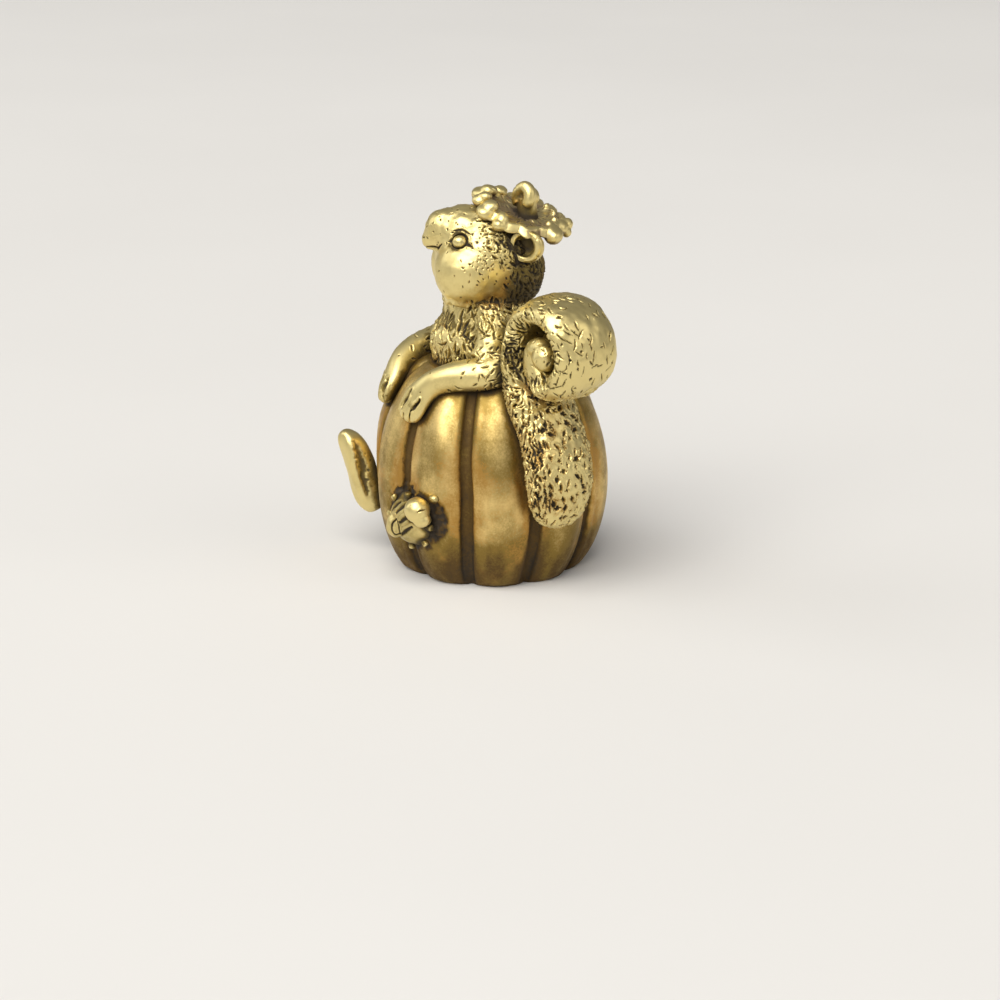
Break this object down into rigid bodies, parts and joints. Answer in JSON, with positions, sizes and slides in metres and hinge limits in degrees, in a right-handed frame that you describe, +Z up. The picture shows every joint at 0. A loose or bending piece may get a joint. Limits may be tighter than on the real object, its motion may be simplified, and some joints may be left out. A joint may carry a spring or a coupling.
{
  "type": "squirrel figurine",
  "caption": "Small cast brass ornament: a squirrel looks out of a ribbed pumpkin with the pumpkin's lid on its head.",
  "frame": {"origin": "centre of the pumpkin's flat base, on the surface that it stands on", "axes": "+Z up; the squirrel faces -Y and its left side is +X"},
  "size_m": [0.0266, 0.025, 0.0364],
  "materials": {
    "brass": "aged brass, polished on the high places and dark in the hollows"
  },
  "bodies": {
    "root": {"pumpkin": "brass", "torso": "brass", "head": "brass", "snout": "brass", "left_eye": "brass", "right_eye": "brass", "left_ear": "brass", "right_ear": "brass", "left_arm": "brass", "right_arm": "brass", "tail": "brass", "lid": "brass", "lid_stem": "brass", "ladybird_shell": "brass", "ladybird_head": "brass", "ladybird_legs": "brass", "tendril": "brass"}
  },
  "joints": []
}
